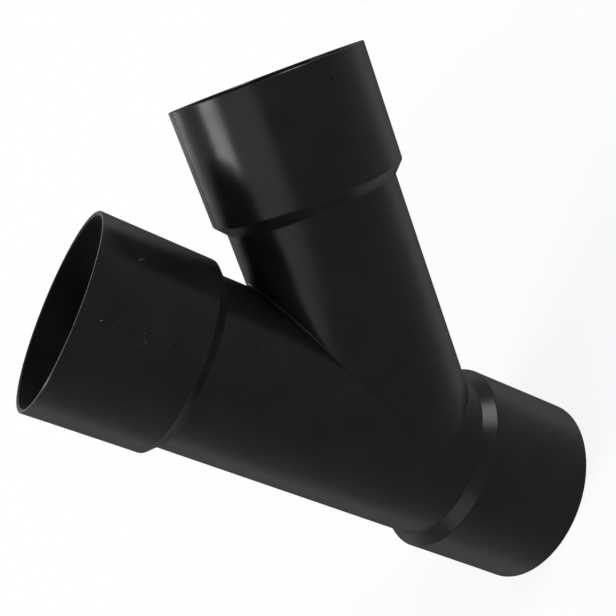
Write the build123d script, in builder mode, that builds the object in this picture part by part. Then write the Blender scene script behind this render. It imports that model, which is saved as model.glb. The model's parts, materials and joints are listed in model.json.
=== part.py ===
from build123d import *
import os
from math import atan, cos, radians, sin, tan
from typing import NamedTuple

# A lateral wye: a straight run of tube, and a branch of the same size that leaves it at
# 45 degrees, moulded in one piece with a socket on each of its three mouths. It stands on
# the run's outlet. The origin is at the middle of that mouth, +Z goes up the run's axis
# to the inlet, and the branch leans towards +X.

# ---- driving dimensions, in millimetres and degrees ---------------------------------

pipe_radius = 57.15  # outside of the pipe that each socket takes
pipe_clearance = 0.15  # between that pipe and the socket's wall
socket_depth = 69.5  # from a mouth to the stop that the pipe's end meets
waterway_radius = 51.0  # bore of the run between its sockets
branch_relief = 0.05  # how much less the radii of the branch's tube and bore are
wall = 2.1  # thickness of the moulding
shoulder_length = 7.1  # of the cone that joins a socket to its tube
socket_draft = 0.25  # taper of a socket's outside, which is widest at its mouth

inlet_reach = 226.5  # from the crossing of the axes to the inlet's mouth
outlet_reach = 103.3  # from the crossing to the outlet's mouth
branch_reach = 237.5  # from the crossing to the branch's mouth
branch_angle = 45.0  # between the branch and the inlet's end of the run

lead_in = 0.7  # chamfer inside each mouth
rim_break = 0.4  # chamfer outside each mouth
root_round = 1.5  # outside corner where a socket turns into its shoulder
neck_round = 1.2  # hollow outside corner where the shoulder meets the tube
crease_round = 1.0  # hollow edge where the branch leaves the run

# ---- sizes that follow from them ----------------------------------------------------

socket_radius = pipe_radius + pipe_clearance
root_radius = socket_radius + wall
tube_radius = waterway_radius + wall
run_length = outlet_reach + inlet_reach

# A wall keeps its thickness round the two corners of a shoulder when its inside corners
# lie nearer to the mouth than its outside corners, by the mitre of the shoulder's turn.
shoulder_turn = atan((root_radius - tube_radius) / shoulder_length)
mitre = wall * tan(shoulder_turn / 2)
socket_length = socket_depth + mitre
rim_radius = root_radius + socket_length * tan(radians(socket_draft))

# ---- the three legs -----------------------------------------------------------------


class Leg(NamedTuple):
    """What goes from the crossing of the axes to one of the mouths."""

    turn: float  # from +Z towards +X
    reach: float  # from the crossing to the mouth
    relief: float  # how much less the radii of its tube and bore are


inlet = Leg(turn=0, reach=inlet_reach, relief=0)
outlet = Leg(turn=180, reach=outlet_reach, relief=0)
branch = Leg(turn=branch_angle, reach=branch_reach, relief=branch_relief)

crossing = (0, 0, outlet_reach)


def section_plane(leg):
    """The plane through both axes, with its origin in the crossing and its Y along the leg."""
    turn = radians(leg.turn)
    return Plane(origin=crossing, x_dir=(cos(turn), 0, -sin(turn)), z_dir=(0, -1, 0))


def axis_of(leg):
    return Axis(crossing, section_plane(leg).y_dir)


def section(leg, points, rounds):
    """The area inside an outline of points (radius, distance from the crossing)."""
    start = (0, points[0][1])
    end = (0, points[-1][1])
    with BuildSketch(section_plane(leg)) as half:
        with BuildLine():
            FilletPolyline(start, *points, end, radius=rounds)
            Line(end, start)
        make_face()
    return half.sketch


def socket_outside(leg):
    """Half the section of a socket and its shoulder, which laps over the end of the tube."""
    root = leg.reach - socket_length
    neck = root - shoulder_length
    points = [
        (tube_radius - leg.relief, neck - neck_round),
        (tube_radius - leg.relief, neck),
        (root_radius, root),
        (rim_radius, leg.reach - rim_break),
        (rim_radius - rim_break, leg.reach),
    ]
    return section(leg, points, rounds=[0, neck_round, root_round, 0, 0])


def socket_inside(leg):
    """Half the section of a socket's bore, down to the cone that its pipe's end meets."""
    seat = leg.reach - socket_depth
    points = [
        (waterway_radius - leg.relief, seat - shoulder_length),
        (socket_radius, seat),
        (socket_radius, leg.reach - lead_in),
        (socket_radius + lead_in, leg.reach),
    ]
    return section(leg, points, rounds=0)


# ---- the moulding -------------------------------------------------------------------

# A round face has its seam at its sketch plane's X. The run's is at the back, where the
# branch doesn't cross it, and the branch's is along the middle of its underside.
run_plane = Plane(origin=(0, 0, 0), x_dir=(-1, 0, 0), z_dir=(0, 0, 1))
branch_plane = Plane(
    origin=crossing, x_dir=section_plane(branch).x_dir, z_dir=section_plane(branch).y_dir
)

with BuildPart() as wye_fitting:
    # the outside of the run's tube and of the branch's, both as long as their legs
    with BuildSketch(run_plane):
        Circle(tube_radius)
    extrude(amount=run_length)
    with BuildSketch(branch_plane):
        Circle(tube_radius - branch_relief)
    extrude(amount=branch_reach)

    # they meet in the one edge that is neither straight nor round: the crease goes from
    # the crotch, down both flanks where the tubes are almost tangent, to the heel
    crease = wye_fitting.edges().filter_by(
        lambda edge: edge.geom_type not in (GeomType.LINE, GeomType.CIRCLE)
    )
    fillet(crease, radius=crease_round)

    # a socket over the end of each leg
    for leg in (inlet, outlet, branch):
        revolve(socket_outside(leg), axis=axis_of(leg))

    # the waterways through the run and up the branch
    with BuildSketch(run_plane):
        Circle(waterway_radius)
    extrude(amount=run_length, mode=Mode.SUBTRACT)
    with BuildSketch(branch_plane):
        Circle(waterway_radius - branch_relief)
    extrude(amount=branch_reach, mode=Mode.SUBTRACT)

    # the bore of each socket
    for leg in (inlet, outlet, branch):
        revolve(socket_inside(leg), axis=axis_of(leg), mode=Mode.SUBTRACT)

wye_fitting.part.label = "wye_fitting"

os.makedirs("parts", exist_ok=True)
export_step(wye_fitting.part, "parts/wye_fitting.step")

size = wye_fitting.part.bounding_box().size
print(f"run {run_length:.1f} long, sockets {2 * rim_radius:.2f} across the rim")
print(f"box {size.X:.1f} x {size.Y:.1f} x {size.Z:.1f}, volume {wye_fitting.part.volume:.0f}")
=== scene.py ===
# %% [markdown]
# # A lateral wye fitting in black plastic
# One moulding joins three lengths of drain pipe: a straight run, and a branch that leaves it
# at 45 degrees, with a socket on each mouth. Its shape could be modelled again here, but the
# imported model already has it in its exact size. So these cells leave that mesh as it is, and
# give it its finish, a few marks of the mould, a floor and a light.

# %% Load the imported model
import json
from math import atan2, cos, pi, radians, sin, sqrt, tan

import bpy
from mathutils import Matrix, Vector


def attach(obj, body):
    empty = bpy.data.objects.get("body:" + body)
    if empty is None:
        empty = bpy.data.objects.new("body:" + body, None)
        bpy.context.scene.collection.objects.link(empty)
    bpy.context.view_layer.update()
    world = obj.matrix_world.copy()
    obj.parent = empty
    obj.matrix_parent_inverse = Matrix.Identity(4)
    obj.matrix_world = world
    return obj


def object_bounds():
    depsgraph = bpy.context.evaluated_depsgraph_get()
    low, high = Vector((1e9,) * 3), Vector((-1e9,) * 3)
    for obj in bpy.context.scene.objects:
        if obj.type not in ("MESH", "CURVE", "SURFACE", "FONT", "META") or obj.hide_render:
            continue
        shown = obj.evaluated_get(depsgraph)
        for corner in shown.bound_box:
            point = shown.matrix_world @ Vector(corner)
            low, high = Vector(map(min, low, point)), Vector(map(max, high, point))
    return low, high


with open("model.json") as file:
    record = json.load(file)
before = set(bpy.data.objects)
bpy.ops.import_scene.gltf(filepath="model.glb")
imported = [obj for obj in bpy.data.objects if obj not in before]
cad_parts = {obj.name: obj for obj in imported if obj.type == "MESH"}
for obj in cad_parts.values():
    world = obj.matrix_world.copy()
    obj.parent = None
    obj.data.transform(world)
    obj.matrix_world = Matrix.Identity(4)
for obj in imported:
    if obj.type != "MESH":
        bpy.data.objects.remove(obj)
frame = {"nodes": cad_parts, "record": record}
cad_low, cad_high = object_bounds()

scene = bpy.context.scene
wye = frame["nodes"]["wye_fitting"]
middle = (cad_low + cad_high) / 2
print("box in mm", [round(1000 * v, 1) for v in (*cad_low, *cad_high)])

# %% [markdown]
# ## The camera
# A camera that tracks an empty stays level. This one is rolled, so that the run lies almost
# level in the frame with its inlet at the left, and so its three directions are worked out
# from an azimuth, an elevation and a roll. A long lens, well over half a metre away, keeps
# the three sockets nearly the same size.

# %% Place the camera
AIM = middle + Vector((-0.0339, 0.0132, 0.0323))
DISTANCE = 0.62
AZIMUTH, ELEVATION, ROLL = radians(-1.02), radians(21.35), radians(-67.55)

into_view = Vector(
    (-sin(AZIMUTH) * cos(ELEVATION), cos(AZIMUTH) * cos(ELEVATION), -sin(ELEVATION))
)
level_right = Vector((cos(AZIMUTH), sin(AZIMUTH), 0))
level_up = level_right.cross(into_view)
right = level_right * cos(ROLL) + level_up * sin(ROLL)
up = right.cross(into_view)

lens = bpy.data.cameras.new("camera")
lens.sensor_width = 36
lens.lens = 59.25
lens.shift_x, lens.shift_y = 0.0369, 0.0259
camera = bpy.data.objects.new("camera", lens)
scene.collection.objects.link(camera)
turned = Matrix((right, up, -into_view)).transposed().to_4x4()
camera.matrix_world = Matrix.Translation(AIM - DISTANCE * into_view) @ turned
scene.camera = camera
print("camera at", [round(v, 4) for v in camera.matrix_world.translation])

# %% [markdown]
# ## Helpers for nodes
# Every finish here is a small tree of nodes. The trees could be clicked together one node at
# a time. A few helpers that each add a node and wire it in keep a finish to a few lines, and
# they work on whichever tree was emptied last.

# %% Write the helpers for nodes


def empty_tree(owner):
    """Empties a material's or a world's nodes, and gives what adds a node and joins two."""
    owner.use_nodes = True
    tree = owner.node_tree
    tree.nodes.clear()

    def add_node(kind, **values):
        node = tree.nodes.new(kind)
        for key, value in values.items():
            if key in node.inputs:
                node.inputs[key].default_value = value
            else:
                setattr(node, key, value)
        return node

    return add_node, tree.links.new


def maths(operation, first, second):
    """What an operation makes of two values."""
    node = add("ShaderNodeMath", operation=operation)
    join(first, node.inputs[0])
    join(second, node.inputs[1])
    return node.outputs[0]


NOISE_LOW, NOISE_HIGH = 0.35, 0.65  # most of a noise lies between these


def spread(value, low, high, start=NOISE_LOW, end=NOISE_HIGH, ease="LINEAR"):
    """A value from start to end, spread over low to high and held there outside them."""
    ramp = add("ShaderNodeMapRange", interpolation_type=ease)
    ramp.inputs["From Min"].default_value = start
    ramp.inputs["From Max"].default_value = end
    ramp.inputs["To Min"].default_value = low
    ramp.inputs["To Max"].default_value = high
    join(value, ramp.inputs["Value"])
    return ramp.outputs[0]


def in_sight():
    """1 for what the lens, gloss and glass see, and 0 for the light that falls on things."""
    ray = add("ShaderNodeLightPath").outputs
    seen = maths("MAXIMUM", ray["Is Camera Ray"], ray["Is Glossy Ray"])
    return maths("MAXIMUM", seen, ray["Is Transmission Ray"])


print("a noise is spread from", NOISE_LOW, "to", NOISE_HIGH)

# %% [markdown]
# ## The floor
# The fitting stands on its outlet. A small sheet of paper under it would end somewhere in
# view, so the floor is one wide plane. The lens, gloss and glass see it lifted to white, and
# near the fitting it is lifted a little less, so that some of the shadow stays.

# %% Lay the floor
FLOOR_HALF = 30.0
PALE = 0.8
LIFT_NEAR = 0.85
SHADOW_REACH = 0.35  # the floor is lifted least up to this far from the middle of the outlet
WHITE_FROM = 0.9  # and from here on it is as white as the room

bpy.ops.object.select_all(action="DESELECT")
bpy.ops.mesh.primitive_plane_add(size=2 * FLOOR_HALF, location=(0, 0, cad_low.z))
floor = bpy.context.object
floor.name = "floor"

paper = bpy.data.materials.new("floor_paper")
add, join = empty_tree(paper)
far_off = add("ShaderNodeVectorMath", operation="LENGTH")
join(add("ShaderNodeTexCoord").outputs["Object"], far_off.inputs[0])
lift = spread(far_off.outputs["Value"], LIFT_NEAR, 1, SHADOW_REACH, WHITE_FROM, "SMOOTHSTEP")
mix = add("ShaderNodeMixShader")
join(maths("MULTIPLY", in_sight(), lift), mix.inputs["Fac"])
join(add("ShaderNodeBsdfDiffuse", Color=(PALE, PALE, PALE, 1)).outputs[0], mix.inputs[1])
join(add("ShaderNodeEmission", Strength=1.0).outputs[0], mix.inputs[2])
join(mix.outputs[0], add("ShaderNodeOutputMaterial").inputs["Surface"])
floor.data.materials.append(paper)
print(f"floor {2 * FLOOR_HALF:.0f} m wide, {len(paper.node_tree.nodes)} nodes")

# %% [markdown]
# ## The light
# Black plastic shows the room more than its own colour, so the room is what has to be right.
# An empty grey world would leave it flat, and a single lamp would leave it mostly black. A
# white studio is all round instead. In it hang four softboxes: a bright one high at the left
# that draws the streak down the branch's socket, a wide dim one nearer to the camera, a low
# one at the right that catches the shoulder of the outlet, and a small one behind, low over
# the floor, that runs along the rim of the inlet.

# %% Make the white studio
ROOM_FILL = 0.2  # the strength of the room's own light, where the eye sees it at 1

world = bpy.data.worlds.new("studio")
scene.world = world
scene.view_settings.view_transform = "Standard"
add, join = empty_tree(world)
walls = add("ShaderNodeBackground", Color=(1, 1, 1, 1))
join(spread(in_sight(), ROOM_FILL, 1, start=0, end=1), walls.inputs["Strength"])
join(walls.outputs[0], add("ShaderNodeOutputWorld").inputs["Surface"])
print(f"studio: fills at {ROOM_FILL}, seen at 1")

# %% Hang the softboxes
LAMP_DISTANCE = 2.0


def softbox(name, spot, azimuth, elevation, wide, high, radiance):
    """A lamp that is wide by high degrees as seen from a spot, and is turned to face it.

    The spot is on the fitting, from its middle. The azimuth goes anticlockwise from the front.
    """
    turn, rise = radians(azimuth), radians(elevation)
    toward = Vector((sin(turn) * cos(rise), -cos(turn) * cos(rise), sin(rise)))
    lamp = bpy.data.lights.new(name, "AREA")
    lamp.shape = "RECTANGLE"
    lamp.size = 2 * LAMP_DISTANCE * tan(radians(wide) / 2)
    lamp.size_y = 2 * LAMP_DISTANCE * tan(radians(high) / 2)
    lamp.energy = radiance * pi * lamp.size * lamp.size_y
    box = bpy.data.objects.new(name, lamp)
    box.location = middle + Vector(spot) + LAMP_DISTANCE * toward
    box.rotation_euler = (-toward).to_track_quat("-Z", "Y").to_euler()
    box.visible_camera = False
    scene.collection.objects.link(box)
    print(f"{name}: {lamp.size:.2f} x {lamp.size_y:.2f} m, {lamp.energy:.0f} W")


# the branch's socket, its tube, the shoulder of the outlet and the inlet's rim
softbox("high_left", (0.045, -0.04, 0.115), -95, 43, wide=21, high=11, radiance=28.0)
softbox("wide_front", (0.055, -0.05, 0.075), -54, 31, wide=44, high=22, radiance=3.1)
softbox("low_right", (-0.035, -0.04, -0.095), 82, 33, wide=26, high=11, radiance=23.0)
softbox("behind", (-0.075, 0, 0.165), 183, 9.4, wide=16, high=8, radiance=18.0)

# %% [markdown]
# ## The finish
# The plastic is black all through and comes off polished steel with a satin skin. One colour
# and one roughness would look like a computer's plastic, because a real skin isn't quite
# even: it is slightly wavy where the melt shrank, cloudy where it was handled, and it has a
# fine grain, which dulls its gloss at a glancing angle. Those are tone, roughness and bump
# from noise of four sizes, in millimetres on the moulding itself, so the pattern stays put
# when the part is turned.

# %% Mix the black plastic
MM = 0.001
GLOSS = 0.085
DARK_TONE = (0.0062, 0.0062, 0.0066, 1)
LIGHT_TONE = (0.0088, 0.0088, 0.0092, 1)
SATIN = (0.19, 0.25)  # roughness where the skin was handled least and most
GRAIN_ROUGHNESS = 0.03
EDGE_DULLNESS = 0.5  # how much rougher the skin is at a glancing angle
EDGE_FROM, EDGE_TO = 0.47, 0.87  # the turn away from the eye over which that comes in

plastic = bpy.data.materials.new("black_plastic")
add, join = empty_tree(plastic)
shell = add("ShaderNodeBsdfPrincipled")
shell.inputs["Specular IOR Level"].default_value = GLOSS
place = add("ShaderNodeTexCoord").outputs["Object"]


def noise(size_mm, detail=2.0):
    """Noise whose blobs are about size_mm across on the moulding."""
    cloud = add("ShaderNodeTexNoise", Scale=1 / (size_mm * MM), Detail=detail)
    join(place, cloud.inputs["Vector"])
    return cloud.outputs["Fac"]


def relief(height, depth_mm, under=None):
    """A bump as deep as depth_mm, on top of the one before."""
    bump = add("ShaderNodeBump", Distance=depth_mm * MM, Strength=1.0)
    join(height, bump.inputs["Height"])
    if under:
        join(under, bump.inputs["Normal"])
    return bump.outputs[0]


handled = noise(26, detail=4.0)
grain = noise(0.5)
wave = noise(34, detail=1.0)
pitting = noise(2.2, detail=3.0)

tone = add("ShaderNodeValToRGB")
dark, light = tone.color_ramp.elements
dark.position, dark.color = NOISE_LOW, DARK_TONE
light.position, light.color = NOISE_HIGH, LIGHT_TONE
join(handled, tone.inputs["Fac"])
join(tone.outputs["Color"], shell.inputs["Base Color"])

facing = add("ShaderNodeLayerWeight", Blend=0.5).outputs["Facing"]
uneven = maths("ADD", spread(handled, *SATIN), spread(grain, 0, GRAIN_ROUGHNESS))
glancing = spread(facing, 0, EDGE_DULLNESS, start=EDGE_FROM, end=EDGE_TO)
join(maths("ADD", uneven, glancing), shell.inputs["Roughness"])

skin = relief(wave, depth_mm=0.10)
skin = relief(pitting, depth_mm=0.004, under=skin)
skin = relief(grain, depth_mm=0.0015, under=skin)
join(skin, shell.inputs["Normal"])
join(shell.outputs[0], add("ShaderNodeOutputMaterial").inputs["Surface"])
wye.data.materials.clear()
wye.data.materials.append(plastic)
print("nodes in the plastic:", len(plastic.node_tree.nodes))

# %% [markdown]
# ## A place on the skin
# A moulding keeps small marks of the tool that it came from. They could be cut into the big
# mesh, but that mesh is the measured part. So each mark is a small piece of its own, modelled
# flat in millimetres with its foot below zero. Then it is laid on the skin: every vertex goes
# as far above the skin as it was above zero, so that the mark follows the curve.

# %% Find a place on the skin
CLEAR_OF_A_LEG = 0.1  # from a leg's axis, in metres, to where a ray towards its skin starts
JUST_ABOVE = 0.01  # and from the skin to where a vertex's ray starts
mounts = {mount["name"]: mount for mount in frame["record"]["mounts"]}


def skin_under(above, inward):
    """Where a ray from above meets the moulding."""
    hit, point, _, _ = wye.ray_cast(above, inward)
    if not hit:
        raise ValueError(f"no skin under {above}")
    return point


def skin_place(name, depth, turn):
    """A frame on the outside of a leg, depth below its mouth and turned about its axis.

    Its X runs round the leg, its Y towards the mouth and its Z out of the skin.
    """
    out = Vector(mounts[name]["axis"])
    side = Vector((0, 1, 0)).cross(out)
    away = side * cos(radians(turn)) + out.cross(side) * sin(radians(turn))
    on_axis = Vector(mounts[name]["pos_m"]) - out * depth * MM
    point = skin_under(on_axis + CLEAR_OF_A_LEG * away, -away)
    round_leg = out.cross(away).normalized()
    placed = Matrix((round_leg, away.cross(round_leg), away)).transposed().to_4x4()
    print(f"{name} {depth} mm down: skin at", [round(v / MM, 2) for v in point])
    return Matrix.Translation(point) @ placed


def lay_on_skin(piece, where):
    """Moves a flat piece, in millimetres, to a place on the skin, and finishes it.

    Nothing goes past the box of the moulding: a mark gets lower where the skin nears it.
    """
    outward = where.to_3x3().col[2]
    for vertex in piece.data.vertices:
        flat = Vector((vertex.co.x * MM, vertex.co.y * MM, JUST_ABOVE))
        laid = skin_under(where @ flat, -outward) + outward * vertex.co.z * MM
        vertex.co = [min(max(v, low), high) for v, low, high in zip(laid, cad_low, cad_high)]
    piece.data.materials.clear()
    piece.data.materials.append(plastic)
    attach(piece, "root")
    print(f"{piece.name}: {len(piece.data.polygons)} faces")


print("legs:", ", ".join(mounts))

# %% [markdown]
# ## The nibs of the gates
# The melt came in through a gate on the inlet's socket and one on the branch's. Where a gate
# broke off there is a low disc, a dish in it, and a rough pip in the dish. A spun profile
# would do. Insets and extrudes on the top of a cylinder show each step better, and one nib is
# copied for the other gate.

# %% Model the nibs in edit mode
FOOT = 0.4  # how far every mark reaches below the skin, in millimetres
SMOOTH_UNDER = radians(35)


def start():
    """Deselects everything, so that an operator acts on the new primitive only."""
    bpy.ops.object.select_all(action="DESELECT")


def select_top():
    """In edit mode, selects the active mesh's faces that look straight up."""
    bpy.ops.mesh.select_all(action="DESELECT")
    bpy.ops.object.mode_set(mode="OBJECT")
    for face in bpy.context.object.data.polygons:
        face.select = face.normal.z > 0.99
    bpy.ops.object.mode_set(mode="EDIT")


def raise_top(height, narrow=1.0):
    """Extrudes the selected faces upwards and draws them in, so that the sides slant."""
    bpy.ops.mesh.extrude_region_move(TRANSFORM_OT_translate={"value": (0, 0, height)})
    bpy.ops.transform.resize(value=(narrow, narrow, 1))


def finish_mark(name):
    """Names the active object, rounds its shading and leaves it at the origin."""
    piece = bpy.context.object
    piece.name = piece.data.name = name
    bpy.ops.object.transform_apply(location=True, rotation=True, scale=True)
    bpy.ops.object.shade_smooth_by_angle(angle=SMOOTH_UNDER)
    return piece


def peg(x, y, radius, vertices):
    """A short cylinder that ends level with the skin, in edit mode with its top selected."""
    start()
    bpy.ops.mesh.primitive_cylinder_add(
        vertices=vertices, radius=radius, depth=FOOT, location=(x, y, -FOOT / 2)
    )
    bpy.ops.object.mode_set(mode="EDIT")
    bpy.ops.mesh.select_mode(type="FACE")
    select_top()


def nib(name, radius, height):
    """A low disc with a dish in it, and the pip in the dish where the gate broke off."""
    peg(0, 0, radius, vertices=32)
    raise_top(0.25 * height, 0.88)  # the disc
    bpy.ops.mesh.inset(thickness=0.08 * radius)
    bpy.ops.mesh.inset(thickness=0.14 * radius, depth=-0.22 * height)  # the dish
    bpy.ops.mesh.inset(thickness=0.12 * radius)
    for share, narrow in ((0.55, 0.9), (0.3, 0.72), (0.12, 0.5)):  # the pip
        raise_top(share * height, narrow)
    bpy.ops.object.mode_set(mode="OBJECT")
    return finish_mark(name)


gate_nib = nib("gate_nib_inlet", radius=2.1, height=0.7)

# the branch's nib is a copy, with its own mesh
start()
gate_nib.select_set(True)
bpy.ops.object.duplicate(linked=False)
branch_nib = bpy.context.object
branch_nib.name = branch_nib.data.name = "gate_nib_branch"

lay_on_skin(gate_nib, skin_place("run_inlet", depth=23.8, turn=-44.6))
lay_on_skin(branch_nib, skin_place("branch_inlet", depth=12.5, turn=-75.6))

# %% [markdown]
# ## A raised stroke
# Signs on a moulding are cut into the tool with a small cutter, so they stand up from the
# skin with steep sides and rounded ends. Beveled curves could make them. A plane with its
# corners beveled and then extruded gives flat tops and a closed foot, and it is cut into
# short lengths so that it can bend round the socket.

# %% Model a raised stroke
STROKE_WIDTH = 1.4
STROKE_LENGTHS = 2.0  # about how long each of a stroke's lengths is


def crown(height):
    """The two steps that raise a sign, each a share of its height and a way inward."""
    return (0.5, 0.4 * height), (0.5, 0.66 * height)


def stroke(start_at, end_at, height, width=STROKE_WIDTH):
    """A raised stroke between two points, with steep sides and a narrow flat top."""
    (x0, y0), (x1, y1) = start_at, end_at
    long = sqrt((x1 - x0) ** 2 + (y1 - y0) ** 2) + width
    start()
    bpy.ops.mesh.primitive_plane_add(size=1, location=(0, 0, -FOOT))
    bar = bpy.context.object
    bar.scale = (long, width, 1)
    bpy.ops.object.transform_apply(location=True, scale=True)
    bpy.ops.object.mode_set(mode="EDIT")
    bpy.ops.mesh.select_mode(type="EDGE")
    bpy.ops.mesh.select_all(action="SELECT")
    bpy.ops.mesh.bevel(offset=0.3 * width, segments=3, affect="VERTICES")
    bpy.ops.mesh.select_mode(type="FACE")
    bpy.ops.mesh.select_all(action="SELECT")
    raise_top(FOOT)
    for share, inward in crown(height):
        raise_top(share * height)
        bpy.ops.transform.resize(value=(1 - 2 * inward / long, 1 - 2 * inward / width, 1))
    lengths = int(long // STROKE_LENGTHS)
    for cut in range(1, lengths):
        bpy.ops.mesh.select_all(action="SELECT")
        middle = (long * (cut / lengths - 0.5), 0, 0)
        bpy.ops.mesh.bisect(plane_co=middle, plane_no=(1, 0, 0))
    bpy.ops.mesh.select_all(action="SELECT")
    bpy.ops.mesh.normals_make_consistent(inside=False)
    bpy.ops.object.mode_set(mode="OBJECT")
    bar.rotation_euler.z = atan2(y1 - y0, x1 - x0)
    bar.location = ((x0 + x1) / 2, (y0 + y1) / 2, 0)
    return finish_mark("stroke")


RING_HEIGHT = 0.3
ring_bar = stroke((0, -2.0), (0, 2.0), RING_HEIGHT)
print("a stroke has", len(ring_bar.data.polygons), "faces")

# %% [markdown]
# ## The cavity's ring
# A tool with several cavities marks each with a sign, so that a bad fitting can be traced.
# This one is a ring round an upright stroke. A torus would be round in section, so the ring
# is a circle's edge extruded across its width and then upwards, as the strokes are.

# %% Model the ring
def ring(radius, height, width=STROKE_WIDTH):
    """A raised ring: a circle extruded across its width, then upwards, then drawn in."""
    inner, outer = radius - width / 2, radius + width / 2
    start()
    bpy.ops.mesh.primitive_circle_add(
        vertices=48, radius=inner, fill_type="NOTHING", location=(0, 0, -FOOT)
    )
    bpy.ops.object.mode_set(mode="EDIT")
    bpy.ops.mesh.select_mode(type="EDGE")
    bpy.ops.mesh.select_all(action="SELECT")
    bpy.ops.mesh.extrude_edges_move(TRANSFORM_OT_translate={"value": (0, 0, 0)})
    bpy.ops.transform.resize(value=(outer / inner, outer / inner, 1))
    bpy.ops.mesh.select_mode(type="FACE")
    bpy.ops.mesh.select_all(action="SELECT")
    raise_top(FOOT)
    bpy.ops.mesh.select_all(action="SELECT")
    bpy.ops.mesh.normals_make_consistent(inside=False)
    select_top()
    for share, inward in crown(height):
        bpy.ops.mesh.inset(thickness=inward, depth=share * height)
    bpy.ops.object.mode_set(mode="OBJECT")
    return finish_mark("ring")


def joined(name, parts):
    """Several parts as one piece."""
    start()
    for part in parts:
        part.select_set(True)
    bpy.context.view_layer.objects.active = parts[0]
    if len(parts) > 1:
        bpy.ops.object.join()
    return finish_mark(name)


cavity_ring = joined("cavity_ring", [ring(5.0, RING_HEIGHT), ring_bar])
lay_on_skin(cavity_ring, skin_place("run_inlet", depth=15.4, turn=-88))

# %% [markdown]
# ## The arrow of the flow
# A wye has to be fitted the right way round, and an arrow on its inlet points down the flow.
# Two slanting strokes that only overlap would leave a lump at the tip. So one is modelled,
# and a Mirror modifier cuts it at the middle line and joins it to its other half.

# %% Model the arrow
ARROW_HEIGHT = 0.35
PAST_THE_TIP = 0.6  # how far the slanting stroke goes on before the mirror cuts it


def chevron(reach, rise, height):
    """One slanting stroke, mirrored across its tip and cut there so that the two meet."""
    one = stroke((-PAST_THE_TIP, -PAST_THE_TIP * rise / reach), (reach, rise), height)
    mirror = one.modifiers.new("other_half", "MIRROR")
    mirror.use_bisect_axis[0] = True
    mirror.merge_threshold = 0.01
    bpy.ops.object.modifier_apply(modifier=mirror.name)
    return one


head = chevron(3.4, 3.4, ARROW_HEIGHT)
head.location.y = -5.5
shaft = stroke((0, -2.6), (0, 5.5), ARROW_HEIGHT)
flow_arrow = joined("flow_arrow", [shaft, head])
lay_on_skin(flow_arrow, skin_place("run_inlet", depth=33.0, turn=-86))

# %% [markdown]
# ## The tally strokes
# The inserts of the tool are told apart by strokes: two slanting ones on the inlet's socket,
# and two short narrow ones near the outlet's mouth. Each pair is a loop over the one stroke.

# %% Model the tally strokes
slanting = [stroke((x, -3.0), (x + 2.8, 3.0), height=0.4) for x in (-4.4, 0.2)]
cavity_tally = joined("cavity_tally", slanting)
lay_on_skin(cavity_tally, skin_place("run_inlet", depth=53.0, turn=-86))

short = [stroke((-2.2, y), (2.2, y), height=0.25, width=0.9) for y in (-1.3, 1.3)]
outlet_tally = joined("outlet_tally", short)
lay_on_skin(outlet_tally, skin_place("run_outlet", depth=7.4, turn=-119))

# %% [markdown]
# ## The dots on the run
# Dots drilled into the tool tell when it was in use, and the pin that pushes the moulding out
# leaves a dot of its own. A sphere would need its lower half cut away. A peg with its top
# raised and drawn in three times gives the same small dome with fewer faces.

# %% Model the dots
DOT_PITCH = 6.4
DATE_DOTS = [(0, 1), (-1, 0), (0, 0), (1, 0), (-1, -1), (1, -1)]


def dot(x, y, radius, height):
    """A small domed pip."""
    peg(x, y, radius, vertices=16)
    for share, narrow in ((0.6, 0.85), (0.3, 0.7), (0.1, 0.5)):
        raise_top(share * height, narrow)
    bpy.ops.object.mode_set(mode="OBJECT")
    return finish_mark("dot")


dots = [dot(DOT_PITCH * column, DOT_PITCH * row, 0.9, 0.6) for column, row in DATE_DOTS]
date_dots = joined("date_dots", dots)
lay_on_skin(date_dots, skin_place("run_inlet", depth=174.0, turn=-92))
ejector_dot = joined("ejector_dot", [dot(0, 0, 1.0, 0.6)])
lay_on_skin(ejector_dot, skin_place("run_inlet", depth=99.6, turn=-64.9))

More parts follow.
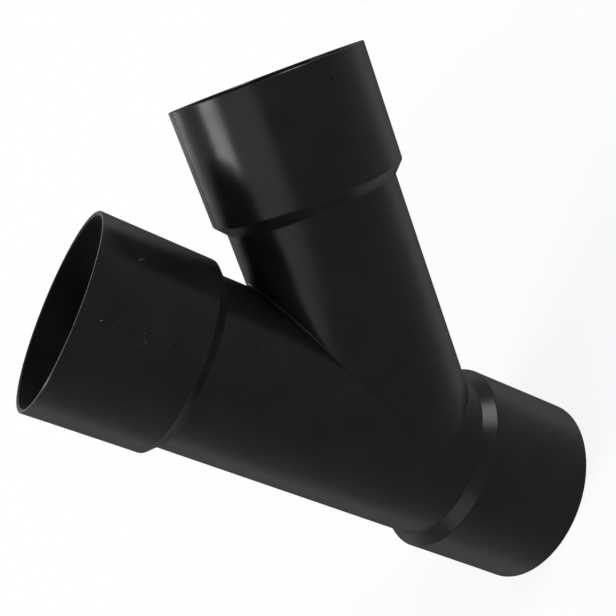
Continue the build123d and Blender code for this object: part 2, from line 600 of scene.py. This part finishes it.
# %% [markdown]
# ## The parting line
# Two halves of the tool close in the plane of the two axes, and a hair of plastic gets in
# between them. A curve with a bevel would do. One short link of the bead is modelled instead
# and repeated by an Array, because its many rows of vertices let it follow the shoulders.
# It stops short of the creases, where the line is dressed off by hand.

# %% Lay the parting line along the legs
LINK = 1.5
BEAD_WIDTH = 0.7
BEAD_HEIGHT = 0.12
BEAD_CREST = 0.35  # how wide the bead's top is, as a share of its foot
RIM_GAP = 0.5  # a bead starts this far below a mouth, past its chamfer


def bead(long):
    """A thin bead along Y, as long as a whole number of links, and closed at its ends."""
    start()
    bpy.ops.mesh.primitive_plane_add(size=1, location=(0, 0, -FOOT))
    link = bpy.context.object
    link.scale = (BEAD_WIDTH, LINK, 1)
    bpy.ops.object.transform_apply(location=True, scale=True)
    repeat = link.modifiers.new("links", "ARRAY")
    repeat.count = int(long // LINK)
    repeat.relative_offset_displace = (0, 1, 0)
    repeat.use_merge_vertices = True
    repeat.merge_threshold = 0.01
    bpy.ops.object.modifier_apply(modifier=repeat.name)
    bpy.ops.object.mode_set(mode="EDIT")
    bpy.ops.mesh.select_mode(type="FACE")
    bpy.ops.mesh.select_all(action="SELECT")
    raise_top(FOOT)
    raise_top(BEAD_HEIGHT)
    bpy.ops.transform.resize(value=(BEAD_CREST, 1, 1))
    bpy.ops.object.mode_set(mode="OBJECT")
    link.location.y = LINK / 2
    return finish_mark("bead")


def lay_bead(name, mount, turn, far):
    """A bead on a leg's outside, from its mouth down to a depth."""
    strip = bead(far - RIM_GAP)
    # the bead was made going up the leg, so it is mirrored to go down, and turned right side out
    for vertex in strip.data.vertices:
        vertex.co.y = -vertex.co.y
    strip.data.flip_normals()
    strip.name = strip.data.name = name
    lay_on_skin(strip, skin_place(mount, RIM_GAP, turn))


lay_bead("parting_line_back", "run_outlet", turn=0, far=329.2)
lay_bead("parting_line_heel", "run_outlet", turn=180, far=78)
lay_bead("parting_line_inlet", "run_inlet", turn=0, far=74)
lay_bead("parting_line_under", "branch_inlet", turn=0, far=212)
lay_bead("parting_line_over", "branch_inlet", turn=180, far=74)
